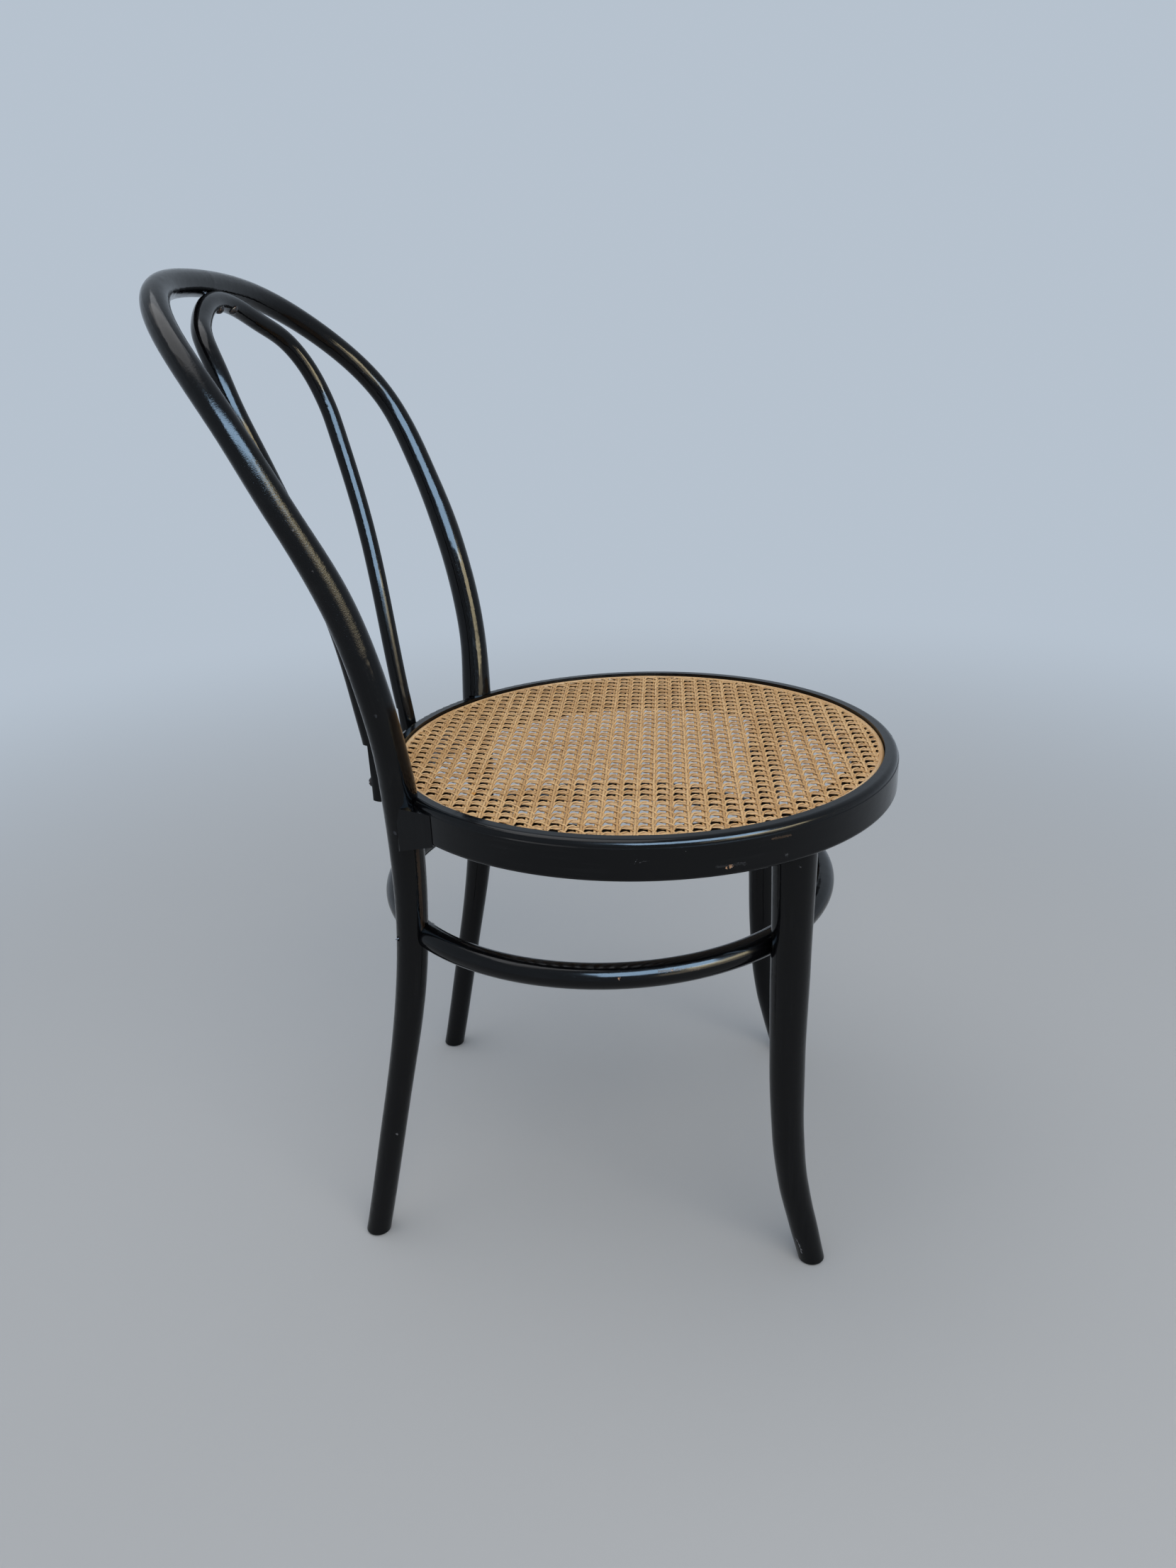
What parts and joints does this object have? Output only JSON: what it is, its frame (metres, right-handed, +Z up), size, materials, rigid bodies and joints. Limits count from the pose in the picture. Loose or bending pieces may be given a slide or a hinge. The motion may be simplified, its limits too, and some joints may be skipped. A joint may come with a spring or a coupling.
{
  "type": "bentwood bistro chair",
  "caption": "Black lacquered bentwood bistro chair with a hooped back, a round woven cane seat and a ring that braces splayed legs.",
  "frame": {"origin": "on the floor, under the middle of the chair's box", "axes": "+Z up, -Y towards the front of the seat, +X towards the sitter's left"},
  "size_m": [0.442, 0.5714, 0.8146],
  "materials": {
    "black_wood": "gloss black lacquer, worn",
    "cane": "satin",
    "reed": "satin",
    "blackened_steel": "painted over in black"
  },
  "bodies": {
    "root": {"back_bow_and_rear_legs": "black_wood", "inner_bow": "black_wood", "seat_ring": "black_wood", "seat_cane": "cane", "cane_spline": "reed", "front_leg_right": "black_wood", "front_leg_left": "black_wood", "stretcher_ring": "black_wood", "packing_block_right": "black_wood", "packing_block_left": "black_wood", "rear_leg_coach_screws": "blackened_steel", "rear_leg_washers": "blackened_steel", "inner_bow_screws": "blackened_steel", "bow_top_screws": "blackened_steel", "stretcher_screws": "blackened_steel", "tenon_lock_screws": "blackened_steel"}
  },
  "joints": []
}
